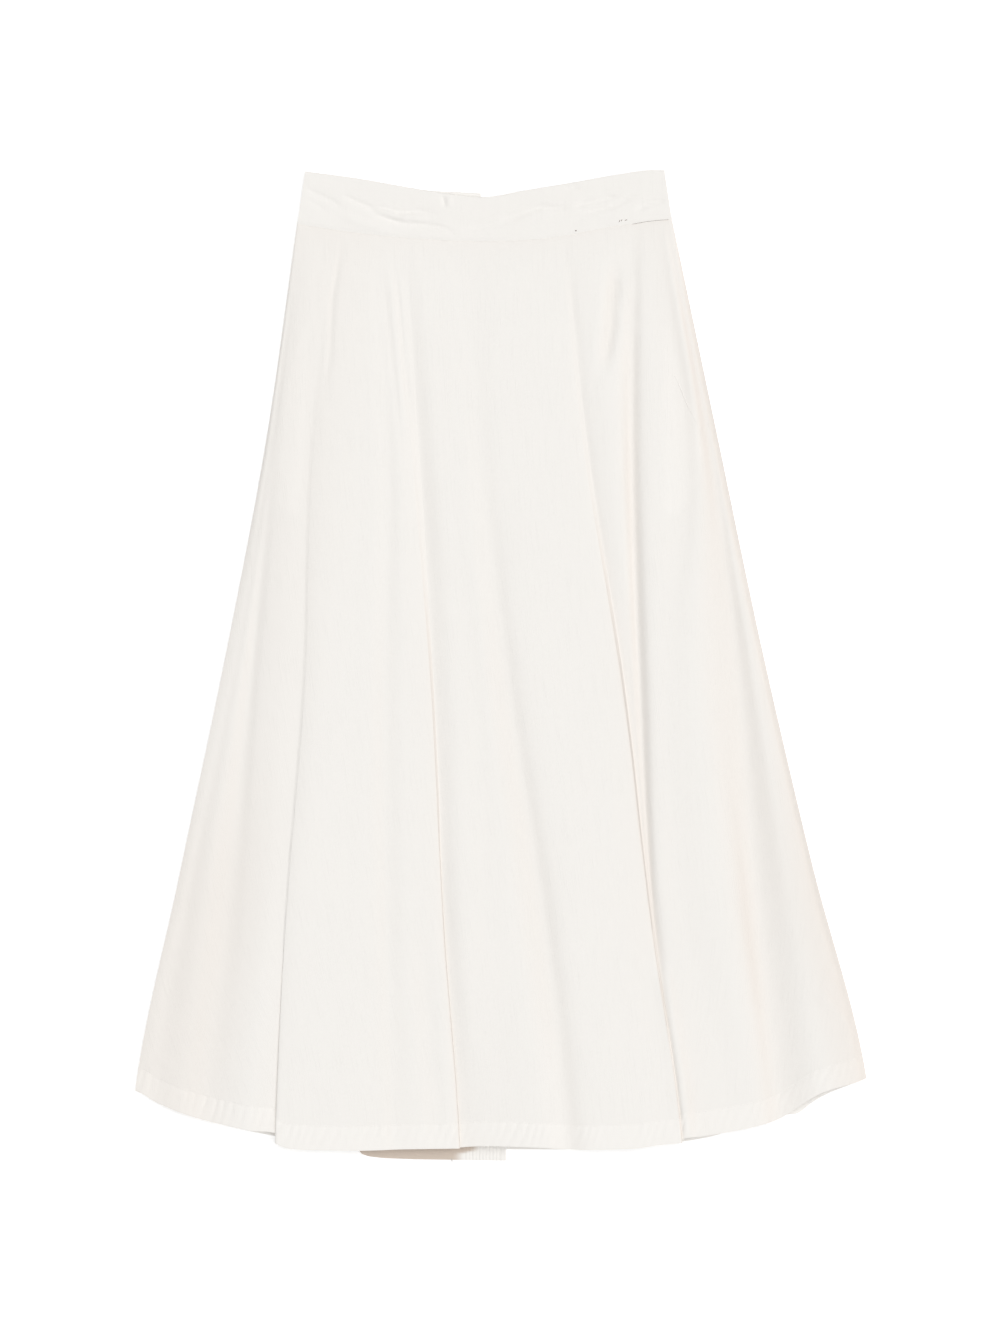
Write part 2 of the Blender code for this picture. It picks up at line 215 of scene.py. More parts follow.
def cottonFinish(name, brightness=1):
    finish = Finish(name)
    cloth = finish.out(finish.node("ShaderNodeUVMap", {"uv_map": "cloth"}))
    across, down = finish.split(cloth)
    turns = math.pi / cotton["thread"]
    warp = finish.maths("SINE", across * turns)
    weft = finish.maths("SINE", down * turns)
    weave = warp * weft * 0.5 + 0.5
    lengthwise = finish.join(across * cotton["slubsAcross"], down / cotton["slubLength"])
    crosswise = finish.join(across / cotton["slubLength"] * 1.4, down * cotton["slubsDown"])
    longSlub = finish.soft(finish.grain(lengthwise, 1, 3, 0.6), 0.5, 0.75)
    crossSlub = finish.soft(finish.grain(crosswise, 1, 3, 0.6), 0.55, 0.8)
    slub = longSlub + crossSlub * 0.6
    crumple = finish.grain(cloth, cotton["crumples"], 4, 0.55)
    patches = finish.grain(cloth, cotton["patches"], 3, 0.5)

    # painted shade: the shade attribute darkens and warms the cloth in folds, and the hem shadow attribute
    # darkens the back hem's inside
    shade = finish.attribute("shade")
    pocket = finish.attribute("pocket")
    base = finish.colours(shade, cotton["open"], cotton["deep"])
    base = finish.colours(finish.attribute("inside"), base, cotton["inside"])
    levels = cotton["levels"]
    level = brightness - slub * levels["slub"] + (patches - 0.5) * levels["patches"]
    level += (weave - 0.5) * levels["weave"] + pocket * levels["pocket"] - shade * levels["shade"]
    colour = finish.colours(1, base, finish.join(level, level, level), "MULTIPLY")

    bump = finish.bump(crumple, cotton["crumpleBump"])
    bump = finish.bump(slub, cotton["slubBump"], bump)
    bump = finish.bump(weave, cotton["weaveBump"], bump)
    return finish.finish(**{
        "Base Color": colour,
        "Roughness": 0.86,
        "Specular IOR Level": 0.12,
        "Sheen Weight": 0.02,
        "Sheen Roughness": 0.5,
        "Normal": bump,
    })


def threadFinish(name, colour):
    finish = Finish(name)
    spot = finish.out(finish.node("ShaderNodeTexCoord"), "Object")
    twist = finish.out(finish.node("ShaderNodeTexWave", {"bands_direction": "DIAGONAL"},
                                   {"Vector": spot, "Scale": 900, "Distortion": 1}), "Fac")
    shade = twist * 0.12 + 0.9
    tone = finish.colours(1, (*colour, 1), finish.join(shade, shade, shade), "MULTIPLY")
    bump = finish.bump(twist, 0.00005, strength=0.6)
    return finish.finish(**{"Base Color": tone, "Roughness": 0.6, "Normal": bump})


# Curves and cloth walls
def soften(t):
    t = np.clip(t, 0, 1)
    return t * t * (3 - 2 * t)


def ramp(value, start, end):
    # a share that grows softly from 0 at start to 1 at end
    return soften((value - start) / (end - start))


def bend(first, last, start, end, t):
    # from first to last as t goes from 0 to 1, with the slopes start and end
    rise = last - first
    return first + t * start + t * t * (3 * rise - 2 * start - end) + t**3 * (start + end - 2 * rise)


def hermite(knots, values, slopes, x):
    i = np.clip(np.searchsorted(knots, x) - 1, 0, len(knots) - 2)
    width = knots[i + 1] - knots[i]
    return bend(values[i], values[i + 1], slopes[i] * width, slopes[i + 1] * width, (x - knots[i]) / width)


def curveAt(points, x):
    px, py = np.array(points, float).T
    return hermite(px, py, np.gradient(py, px), np.asarray(x, float))


def onCurve(points, x):
    return np.stack([x, curveAt(points, x)], axis=1)


def flatGrid(tops, bottoms, shares, height):
    # a grid of points at one height, in rows from tops to bottoms
    grid = tops[:, None] + (bottoms - tops)[:, None] * shares[None, :, None]
    return np.pad(grid, ((0, 0), (0, 0), (0, 1)), constant_values=height)


def normalsOf(grid):
    across = np.gradient(grid, axis=0)
    down = np.gradient(grid, axis=1)
    facing = np.cross(down, across)
    return facing / np.maximum(np.linalg.norm(facing, axis=2, keepdims=True), 1e-9)


def lengthsAlong(grid, axis):
    # how far each point of a path, or of a grid's columns or rows, is from the first one
    lengths = np.cumsum(np.linalg.norm(np.diff(grid, axis=axis), axis=-1), axis=axis)
    return np.concatenate([np.zeros_like(lengths.take([0], axis)), lengths], axis=axis)


def clothUv(grid):
    # metres along the cloth, from the column nearest the middle and down from the first row
    u = lengthsAlong(grid, 0)
    middle = np.abs(grid[:, 0, 0]).argmin()
    return np.stack([u - u[middle], lengthsAlong(grid, 1)], axis=2) * mm


def clothWall(name, grid, half, material, **marks):
    # a closed wall on a grid of its middle, in millimetres, columns by rows: half is half its thickness
    # at each row, and marks are the attributes that its material reads
    count, rows = grid.shape[:2]
    half = np.broadcast_to(np.asarray(half, float), (count, rows))[:, :, None]
    lift = normalsOf(grid) * half
    points = np.concatenate([(grid + lift).reshape(-1, 3), (grid - lift).reshape(-1, 3)]) * mm
    index = np.arange(count * rows).reshape(count, rows)
    a, b = index[:-1, :-1], index[:-1, 1:]
    c, d = index[1:, 1:], index[1:, :-1]
    outer = np.stack([a, b, c, d], axis=-1).reshape(-1, 4)
    inner = outer[:, ::-1] + count * rows
    rim = np.concatenate([index[:, 0][::-1], index[0, 1:], index[1:, -1], index[-1, :-1][::-1]])
    ahead = np.roll(rim, -1)
    edge = np.stack([rim, rim + count * rows, ahead + count * rows, ahead], axis=1)
    edge = edge[rim != ahead]
    faces = np.concatenate([outer, inner, edge])
    mesh = bpy.data.meshes.new(name)
    mesh.from_pydata(points.tolist(), [], faces.tolist())
    uv = np.tile(clothUv(grid).reshape(-1, 2), (2, 1))
    loops = np.empty(len(mesh.loops), np.int32)
    mesh.loops.foreach_get("vertex_index", loops)
    layer = mesh.uv_layers.new(name="cloth")
    layer.data.foreach_set("uv", uv[loops].astype(np.float32).ravel())
    for key, values in marks.items():
        both = np.tile(values.ravel(), 2).astype(np.float32)
        mesh.attributes.new(key, "FLOAT", "POINT").data.foreach_set("value", both)
    mesh.materials.append(material)
    mesh.shade_smooth()
    mesh.set_sharp_from_angle(angle=math.radians(60))
    return pieceOf(name, mesh)


def pieceOf(name, mesh):
    piece = bpy.data.objects.new(name, mesh)
    bpy.context.scene.collection.objects.link(piece)
    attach(piece, "root")
    return piece


def standFor(node):
    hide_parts(node)


def areaOf(grid):
    # square metres of a grid of cloth, as two triangles to a cell
    across = np.diff(grid, axis=0)
    down = np.diff(grid, axis=1)
    halves = np.cross(across[:, :-1], down[:-1]), np.cross(down[1:], across[:, 1:])
    return float(sum(np.linalg.norm(half, axis=2).sum() for half in halves) / 2) * mm**2


# A crease is a soft trough or ridge along a path: its width and its rise in millimetres, below 0 for a
# trough, and then the pixels of the photograph that it runs through
creaseReach = 3  # in widths, as far as a crease lifts the cloth
creaseEnd = 0.3  # the share of its length over which it fades at each end


def alongPath(spots, path):
    # how far each spot is from a path, and its share of the way along it
    before = lengthsAlong(path, 0)
    best = np.full(len(spots), 1e9)
    share = np.zeros(len(spots))
    for i, length in enumerate(np.diff(before)):
        way = (path[i + 1] - path[i]) / length
        along = np.clip((spots - path[i]) @ way, 0, length)
        away = np.linalg.norm(spots - path[i] - along[:, None] * way, axis=1)
        nearer = away < best
        best[nearer] = away[nearer]
        share[nearer] = (before[i] + along[nearer]) / before[-1]
    return best, share


def creaseAlong(grid, creases):
    # how far the creases lift each point of a grid
    x, y = grid[:, :, 0], grid[:, :, 1]
    lift = np.zeros(x.shape)
    for width, rise, *points in creases:
        path = np.array([place(*point) for point in points])
        reach = width * creaseReach
        near = ((x > path[:, 0].min() - reach) & (x < path[:, 0].max() + reach)
                & (y > path[:, 1].min() - reach) & (y < path[:, 1].max() + reach))
        away, share = alongPath(np.stack([x[near], y[near]], axis=1), path)
        fade = soften(share / creaseEnd) * soften((1 - share) / creaseEnd)
        lift[near] += rise * fade * np.exp(-((away / width) ** 2))
    return lift


def unevenness(grid, size, height, seed):
    # slow waves of handled cloth, in millimetres
    flat = grid.reshape(-1, 3)
    waves = [noise.noise(Vector((x / size, y / size, seed))) for x, y in flat[:, :2]]
    return np.array(waves).reshape(grid.shape[:2]) * height


def horizonShade(grid, reach):
    # how much of the sky the cloth at both sides hides from each point, 0 to 1
    x, z = grid[:, :, 0].T, grid[:, :, 2].T
    run = x[:, None, :] - x[:, :, None]
    climb = z[:, None, :] - z[:, :, None]
    angle = np.arctan2(climb, np.maximum(np.abs(run), 0.8))
    near = np.abs(run) < reach
    left = np.where(near & (run <= 0), angle, 0).max(axis=2)
    right = np.where(near & (run >= 0), angle, 0).max(axis=2)
    return ((np.sin(left) + np.sin(right)) / 2).T


# The painted shade in and beside folds. A span is two places in millimetres: where a shade starts and is
# whole
folds = {
    "reach": 45,  # how far off cloth can hide the sky
    "leftShare": 0.4,  # of a fold's shade at the left of the skirt
    "rightSpan": (-150, 50),
    "deepFrom": 0.42,  # the share of hidden sky from which a fold is deep
    "deep": 1.6,
    "deepSpan": (-330, -250),
    "turned": 1.3,  # painted shade on cloth that turns to the right
    "steepFrom": 0.3,
    "steep": 2.4,
    "upperShare": 0.35,  # of the shade on turned and outer cloth near the waist
    "lowerSpan": (120, -40),
    "aboveHem": (-420, -300),
    "leftHalf": (60, 0),
    "rightEdge": (150, 180),
    "rightShare": 0.8,
    "outer": 0.42,  # painted shade towards the side seams, in spans from each seam
    "leftSeam": (110, 40),
    "rightSeam": (48, 8),
    "outerSpan": (-40, -240),
}


def foldShade(grid):
    # painted shade in deep folds, on edges that turn down to the right, and on the cloth towards the side
    # seams
    x, y = grid[:, :, 0], grid[:, :, 1]
    least = folds["leftShare"]
    hidden = horizonShade(grid, folds["reach"])
    deep = hidden * (least + (1 - least) * ramp(x, *folds["rightSpan"]))
    deep += np.clip(hidden - folds["deepFrom"], 0, 1) * folds["deep"] * ramp(y, *folds["deepSpan"])
    right = normalsOf(grid)[:, :, 0]
    turned = np.clip(right, 0, 1) * folds["turned"]
    turned += np.clip(right - folds["steepFrom"], 0, 1) * folds["steep"]
    upper = folds["upperShare"]
    shown = upper + (1 - upper) * ramp(y, *folds["lowerSpan"])
    shown *= np.maximum(ramp(y, *folds["aboveHem"]), ramp(x, *folds["leftHalf"]))
    turned *= np.maximum(shown, ramp(x, *folds["rightEdge"]) * folds["rightShare"])
    outer = ramp(x - x[0], *folds["leftSeam"]) + ramp(x[-1] - x, *folds["rightSeam"])
    return deep + turned + outer * folds["outer"] * (upper + (1 - upper) * ramp(y, *folds["outerSpan"]))


# The front: the same lines as the solid, from waist seam to hem. x0 to x4 are where a line runs at the
# waist, at each quarter of the way down and at the hem, and z1 to z4 its height at the last four
Line = namedtuple("Line", "name x0 x1 x2 x3 x4 z1 z2 z3 z4 hemY tuck tuckFrom", defaults=(0, 0))

waistSeam = [(-192.4, 419), (-146, 412), (-80, 405.2), (-15, 402.6), (50, 406.2),
             (110, 417), (163, 423.4)]

frontLines = [
    Line("left side seam", -192.4, -221.8, -260.7, -303.9, -346, 2.6, 2.8, 2.8, 3, -404),
    Line("left side roll", -190.6, -219.8, -255, -299, -339, 4.2, 4.2, 3.8, 3.7, -407),
    Line("left outer valley", -189.2, -217.6, -250.5, -293, -328, 4.7, 4.8, 4, 3.8, -414),
    Line("left side crest", -187.6, -215.2, -245, -279, -303, 5.4, 5.5, 6.5, 6.8, -424.5),
    Line("left valley", -184.8, -212.4, -235.5, -255, -279, 6.3, 4.8, 5.2, 6.2, -432),
    Line("left slope", -182, -206, -226, -240, -257, 7.7, 7.4, 8, 8.6, -437),
    Line("left crest", -175, -194, -208, -221.8, -238, 9.2, 9.3, 9.9, 10.2, -441),
    Line("floor left of first fold", -156, -181, -188, -204, -215.5, 9.3, 9.2, 9.7, 9.1, -443),
    Line("first fold", -151, -177, -184.6, -202, -213, 9.9, 10.1, 10.5, 10.7, -453, 20, 0.78),
    Line("shoulder of first fold", -144.5, -168, -174.6, -192, -203.5, 10.9, 11.3, 11.5, 11.2, -457.5),
    Line("left panel crest", -138, -130, -137, -147, -151.5, 11.4, 11.9, 11.9, 11.3, -460),
    Line("left panel flat", -124, -119, -121, -118.7, -112, 11.4, 11.8, 11.7, 10.7, -459.5),
    Line("left panel dip", -116.5, -105, -109, -106.5, -100, 10.4, 10.6, 10.4, 9.9, -459),
    Line("shoulder of second fold", -109, -95.5, -92, -90, -79, 11.2, 11.8, 11.6, 10.8, -458.5),
    Line("second fold", -98, -83, -65.6, -54.5, -38.5, 9.9, 10.3, 10.2, 9.4, -458, -9, 0.6),
    Line("floor right of second fold", -89.5, -75, -62.4, -51.6, -35.6, 7.9, 8.4, 8.2, 7.6, -457),
    Line("centre left crest", -80, -62, -46, -38, -22, 10.4, 11.1, 11, 8.6, -456),
    Line("centre left flat", -64, -45, -24, -12, 0, 10.8, 11.2, 11.2, 10, -456),
    Line("left of the centre dip", -48, -32, -10, 20, 42, 10.8, 11.4, 11.4, 10.9, -457.5),
    Line("centre dip", -30, -16, 9.5, 42, 65, 9.8, 8.9, 8.4, 8.2, -459),
    Line("right of the centre dip", -8, 0, 24, 57, 82, 10.8, 11.2, 11.2, 10.8, -459.4),
    Line("centre right crest", 26, 48, 80, 108, 130, 11.2, 11.6, 11.4, 10.8, -458),
    Line("shoulder of third fold", 43, 68, 101, 127.5, 150, 11, 11.2, 10.6, 10.2, -455),
    Line("third fold", 56, 81, 116, 142, 172.5, 10.2, 9.8, 8.9, 8.9, -453, -21, 0.75),
    Line("slope below third fold", 61.5, 85.5, 118.5, 143.2, 173.1, 8.9, 6.6, 6.8, 7.4, -450),
    Line("bank right of third fold", 69, 92.5, 122.5, 144, 173.8, 10.2, 6.9, 6.3, 7.5, -449.8),
    Line("ridge in the deep fold", 108, 114.5, 126.8, 144.7, 174.5, 10.4, 6.7, 6.2, 7.6, -449.5),
    Line("floor of the deep fold", 127.5, 125, 133, 145.6, 175.4, 5.3, 5.4, 6.2, 7.7, -448.5),
    Line("right crest", 136, 135, 141.5, 151.5, 188, 9.6, 10, 9.2, 7.8, -447),
    Line("right dip", 149, 176, 161, 173, 224, 9.4, 10.6, 9.5, 8, -441.5),
    Line("right flat", 154.4, 189, 192, 220, 248, 10.6, 10.9, 10, 7.5, -436),
    Line("right valley", 157.6, 197.6, 225, 242, 266, 7.2, 3.9, 3, 3, -430),
    Line("right side crest", 159.8, 201.6, 238, 271, 303, 6.4, 6.9, 8.8, 8.4, -406.5),
    Line("right side roll", 161.4, 203.8, 244.6, 290.5, 339, 4.8, 5.6, 6.8, 6.6, -395.3),
    Line("right side seam", 163, 205.7, 248.4, 295.9, 347.5, 2.6, 2.8, 2.8, 3.2, -392),
]

frontCreases = [
    (6, -3.4, (618, 250), (611, 304), (610, 328), (606, 352), (602, 380)),
    (3.2, 0.9, (614, 280), (628, 284), (638, 281)),
    (3, 0.8, (612, 292), (626, 297), (638, 294)),
    (3.6, 1, (616, 322), (628, 326), (640, 323)),
    (3, -0.9, (343, 232), (332, 300), (330, 355), (324, 400)),
    (3.2, -0.8, (382, 262), (389, 330), (396, 400), (401, 450)),
    (2.8, -0.8, (393, 250), (399, 310), (405, 370), (412, 440)),
    (3.4, -0.2, (575, 240), (571, 290), (580, 350), (586, 400)),
    (9, -1.2, (418, 900), (426, 1000), (433, 1080), (440, 1170)),
    (6.5, 3.2, (655, 930), (667, 1000), (679, 1070), (692, 1170)),
    (4, 0.9, (815, 925), (838, 952), (852, 975)),
    (4, -0.9, (822, 960), (842, 985), (856, 1004)),
    (4.5, 0.9, (812, 985), (836, 1010), (858, 1030)),
    (3.5, 0.8, (143, 1066), (160, 1060), (178, 1066)),
]
front = {
    "cloth": 0.6,
    "seamHeight": 3.4,  # of the cloth's middle at the waist seam
    "sideDrop": 0.2,  # how much lower it is at both side seams
    "hemDepth": 24,
    "hemHalf": (0.44, 0.25),  # half the hem's thickness, and at its end
    "length": 862.6,
    "rows": 190,
    "columns": (4.6, 4),  # the widest step at the hem, and the fewest steps from line to line
    "hemColumns": (1.6, 5),
    "hemSlant": 0.6,  # how much of their slant the lines keep at the hem
    "rise": 3.4,  # how steeply folds grow at the waist
    "curl": 0.5,  # radius of the cloth's turn at a folded edge
    "lean": 7,  # of the slope below a folded edge, where no cloth is tucked under
    "gap": 0.3,
    "seamShade": (0.2, 14),  # painted shade at the waist seam, and how far down it reaches
    "calmTop": (419, 399),  # from no creases to whole ones, below the waist seam
    "calmSides": 8,  # and in columns from the side seams
    "sideTurn": (1.3, 1.5),  # how far in the cloth turns at a side seam, and its height there
    # how far above the waist seam the cloth runs on behind the band, and its height there
    "topTurn": ((2.6, 1.7), (1.4, 1.75), (0.7, 2.4), (0.2, 3.1)),
    "topStep": 0.5,
    "cut": (0.90, 0.88),  # the box that the cut panel fits, in metres
    "unevenness": (60, 0.4, 3),  # length and height of the waves, and their seed
}
quarters = np.linspace(0, 1, 5)


def lineAt(line, v):
    # the path of one line, in millimetres, at each share v of the way down
    across = np.array([line.x0, line.x1, line.x2, line.x3, line.x4])
    slant = np.gradient(across, quarters)
    slant[-1] *= front["hemSlant"]
    x = hermite(quarters, across, slant, v)
    y0 = curveAt(waistSeam, line.x0)
    y = y0 + (line.hemY - y0) * v
    start = front["seamHeight"] - (front["sideDrop"] if "side seam" in line.name else 0)
    levels = np.array([start, line.z1, line.z2, line.z3, line.z4])
    slopes = np.gradient(levels, quarters)
    slopes[0] = (line.z1 - start) / quarters[1] * front["rise"] / 2
    z = hermite(quarters, levels, slopes, v)
    return np.stack([x, y, z], axis=1)


def foldAt(line, below, v):
    # four points round a folded edge, from its upper side to where the tucked cloth turns again over the
    # line below: in a slope at the waist, and in flat layers at the hem
    edge = lineAt(line, v)
    floor = lineAt(below, v)
    way = np.sign(line.tuck)
    share = soften((v - line.tuckFrom) / (1 - line.tuckFrom))
    curl = front["curl"]
    lean = np.minimum(front["lean"], np.abs(floor[:, 0] - edge[:, 0]) * 0.75)
    top = edge[:, 2]
    drop = top - floor[:, 2]
    points = []
    for tucked, slopeSpot, slopeFall, layerFall in ((0, 0, 0, 0), (0, 0.34, 0.34, 2 * curl),
                                                    (1, 0.67, 0.62, drop - 2 * curl), (1, 1, 0.86, drop)):
        point = edge.copy()
        point[:, 0] += way * (tucked * abs(line.tuck) * share - lean * slopeSpot * (1 - share))
        point[:, 1] += (floor[:, 1] - edge[:, 1]) * slopeSpot * (1 - share)
        point[:, 2] = top - (slopeFall * drop * (1 - share) + layerFall * share)
        points.append(point)
    return points if way < 0 else points[::-1]


def frontControls(v):
    controls = []
    for i, line in enumerate(frontLines):
        if line.tuck:
            controls += foldAt(line, frontLines[i - int(np.sign(line.tuck))], v)
        else:
            controls.append(lineAt(line, v))
    return np.array(controls)


def acrossCloth(controls, widest, fewest):
    # a smooth curve through the lines at each row, in columns that are at most widest apart at the hem
    gaps = np.maximum(np.linalg.norm(np.diff(controls, axis=0), axis=2), 0.05)
    knots = np.concatenate([np.zeros((1, gaps.shape[1])), np.cumsum(np.sqrt(gaps), axis=0)])
    steps = np.maximum(fewest, np.round(gaps.max(axis=1) / widest)).astype(int)
    slopes = np.empty_like(controls)
    for row in range(controls.shape[1]):
        slopes[:, row] = np.gradient(controls[:, row], knots[:, row], axis=0)
    columns = []
    for i, count in enumerate(steps):
        width = (knots[i + 1] - knots[i])[:, None]
        start, end = slopes[i] * width, slopes[i + 1] * width
        columns += [bend(controls[i], controls[i + 1], start, end, t) for t in np.arange(count) / count]
    columns.append(controls[-1])
    return np.array(columns)


def fromSides(grid):
    # how many columns lie between each column and the nearer side
    count = np.arange(len(grid))
    return np.minimum(count, count[::-1])


def dressFront(grid):
    # creases and unevenness on the open cloth, none where it is turned under or at its edges
    facing = np.clip(normalsOf(grid)[:, :, 2], 0, 1) ** 2
    lift = creaseAlong(grid, frontCreases) + unevenness(grid, *front["unevenness"])
    hold = soften(fromSides(grid) / front["calmSides"])[:, None] * ramp(grid[:, :, 1], *front["calmTop"])
    dressed = grid.copy()
    dressed[:, :, 2] += lift * facing * hold
    return dressed


def sewnSides(grid):
    # the cloth at both side seams turns down to the back
    first, last = grid[0].copy(), grid[-1].copy()
    inwards, height = front["sideTurn"]
    first[:, 0] += inwards
    last[:, 0] -= inwards
    first[:, 2] = last[:, 2] = height
    return np.concatenate([first[None], grid, last[None]])


def sewnTop(grid):
    # above the waist seam the cloth turns down behind the band
    top = np.repeat(grid[:, :1], len(front["topTurn"]), axis=1)
    for i, (rise, height) in enumerate(front["topTurn"]):
        top[:, i, 1] += rise
        top[:, i, 2] = np.minimum(top[:, i, 2], height)
    grid = grid.copy()
    grid[:, 0, 1] -= front["topStep"]
    return np.concatenate([top, grid], axis=1)


def insideOutline(x, y, outline, edge):
    # 1 well inside an outline of points, 0 outside, soft over edge millimetres
    points = np.array([*outline, outline[0]], float)
    within = np.zeros(x.shape, bool)
    for (ax, ay), (bx, by) in zip(points, points[1:]):
        if ay != by:
            within ^= ((ay > y) != (by > y)) & (x < (bx - ax) * (y - ay) / (by - ay) + ax)
    away = alongPath(np.stack([x.ravel(), y.ravel()], axis=1), points)[0].reshape(x.shape)
    return np.where(within, soften(away / edge), 0)


def hemRows(start, turn, first, count):
    # shares of the way down for the hem's rows, closest where it turns at its upper edge and at its end
    return np.concatenate([[start, start + turn], np.linspace(start + first, 0.999, count), [1]])


def makeFront(material, hemMaterial):
    hemShare = front["hemDepth"] / front["length"]
    v = np.linspace(0, 1 - hemShare * 0.99, front["rows"])
    grid = dressFront(acrossCloth(frontControls(v), *front["columns"]))
    area = areaOf(grid)
    faceUp = normalsOf(grid)[:, :, 2] > 0.3
    openCloth = grid[faceUp]
    most, reach = front["seamShade"]
    # painted shade: fold shade plus the shade below the waist seam, for the cloth's colour
    shade = foldShade(grid) + most * np.exp(-(grid[:, :1, 1] - grid[:, :, 1]) / reach)
    bags = [insideOutline(grid[:, :, 0], grid[:, :, 1], bag, pockets["softEdge"])
            for bag in pocketOutlines.values()]
    turned = (1, 1), (len(front["topTurn"]), 0)
    marks = {"shade": np.pad(shade, turned, mode="edge"),
             "pocket": np.pad(np.maximum(*bags) * faceUp, turned, mode="edge")}
    grid = sewnTop(sewnSides(grid))
    piece = clothWall("frontPanel", grid, front["cloth"] / 2, material, **marks)
    standFor("front_panel")

    v = hemRows(1 - hemShare, 0.0006, 0.0015, 12)
    grid = dressFront(acrossCloth(frontControls(v), *front["hemColumns"]))
    shade = np.pad(foldShade(grid), ((1, 1), (0, 0)), mode="edge")
    grid[:, :, 2] += hemPuckers(grid, 5)
    facing = normalsOf(grid)
    grid -= facing * puckers["sink"]
    path = grid[:, 2] + facing[:, 2] * puckers["threadHeight"]
    half = np.full(len(v), front["hemHalf"][0])
    half[-1] = front["hemHalf"][1]
    hem = clothWall("frontHem", sewnSides(grid), half, hemMaterial, shade=shade)
    standFor("front_panel")
    return piece, hem, path, area, openCloth


# Small slanting ridges that the hem's thread draws up, strongest at the stitches
puckers = {
    "spacing": 9.5,
    "slant": 0.45,  # across for each millimetre down
    "height": 1.1,
    "fading": 45,  # over what length ridges come and go
    "drift": (9, 30),  # how far they stray, and over what length
    "groove": (0.22, 1.4, 1.5),  # depth, place and width of the groove that the stitches draw
    "sink": 0.13,  # how far the front hem lies below the cloth above it
    "threadHeight": 0.36,  # of the stitches, above the hem's middle
}


def hemPuckers(grid, seed):
    u, v = np.moveaxis(clothUv(grid) / mm, 2, 0)
    share = np.linspace(0, 1, grid.shape[1])[None, :]
    stray, straying = puckers["drift"]
    strength = [0.5 + 0.5 * noise.noise(Vector((x / puckers["fading"], seed, 0))) for x in u[:, 0]]
    drift = np.array([stray * noise.noise(Vector((x / straying, seed + 9, 0))) for x in u[:, 0]])
    phase = (u + drift[:, None] + v * puckers["slant"]) * 2 * math.pi / puckers["spacing"]
    ridge = 0.3 - np.clip(-np.sin(phase), 0, 1) ** 2
    profile = soften(share / 0.3) * (1 - 0.6 * share)
    depth, spot, width = puckers["groove"]
    drawn = np.exp(-(((v - spot) / width) ** 2)) * depth * soften(share / 0.05)
    strong = np.clip(np.array(strength) * 1.7 - 0.4, 0.2, 1)[:, None] * puckers["height"]
    return ridge * profile * strong - drawn


# The waistband: double cloth folded at its top edge, its lower edge sewn to the panels
bandTops = {
    "front": [(-185, 469), (-136, 462.5), (-91, 454.6), (-45, 447.2), (-15, 444.8),
              (23, 451), (69, 458.6), (114.5, 466.6), (143, 470.3), (156, 470)],
    "left": [(-185, 468.6), (-136, 462), (-91, 454.2), (-59, 450.4), (-40, 449.6),
             (-18.15, 448.4)],
    "right": [(-17.85, 443.4), (23, 450.2), (69, 457.8), (114.5, 465.8), (143, 470),
              (156, 470.5)],
}
bandCreases = [
    (2.8, -0.7, (300, 186), (312, 192), (330, 200), (345, 209)),
    (2.6, -0.3, (303, 197), (317, 205), (330, 213)),
    (2.4, -1.1, (340, 195), (352, 200), (365, 205), (380, 213)),
    (2.4, -1.1, (365, 204), (382, 208), (400, 213), (417, 211), (442, 214)),
    (2.3, -1.2, (366, 212), (378, 216), (392, 220), (406, 224), (424, 226), (446, 229)),
    (3.2, 0.9, (374, 208), (392, 214), (410, 219), (432, 221)),
    (2.4, -0.8, (398, 218), (415, 222), (432, 225), (447, 229), (458, 237)),
    (4, 0.7, (335, 214), (352, 220), (372, 226), (395, 231)),
    (1.8, -0.7, (441, 191), (443, 198), (444, 208)),
    (2.6, 0.5, (448, 192), (449, 200), (449, 208)),
    (4, -0.8, (455, 228), (480, 226), (510, 220), (530, 212)),
    (2.6, -1.2, (493, 224), (506, 217), (523, 212), (541, 207), (556, 208), (576, 206)),
    (2.4, -1.2, (570, 209), (584, 203), (596, 201), (607, 198), (622, 196)),
    (2.8, -1.1, (575, 214), (592, 211), (609, 207), (622, 201), (640, 192)),
    (2.6, -1, (632, 212), (642, 206), (652, 202), (668, 200)),
    (2.4, -0.8, (560, 184), (568, 187), (580, 186)),
]
backBandCreases = [
    (3, 0.5, (310, 190), (340, 200), (372, 207)),
    (3, 0.5, (350, 214), (390, 222), (430, 226)),
    (3, 0.5, (520, 224), (560, 214), (600, 206)),
    (3, 0.4, (590, 190), (620, 188), (650, 194)),
]
band = {
    "height": 3.4,  # of the front band's middle
    "backHeight": 1,
    "tall": 46.5,
    "half": 1.02,  # half its thickness
    "foldRadius": 1.3,  # at the top edge
    "seamHalf": 0.42,  # the share of its thickness that is left at the seam
    "creaseScale": 1.3,
    "deepest": -1.2,  # as far as a crease may sink the front band
    "columns": {"front": 250, "left": 110, "right": 110},
    "unevenness": (34, 0.35),
    "cuts": {"front": (0.355, 0.047), "left": (0.175, 0.047), "right": (0.182, 0.047)},
}


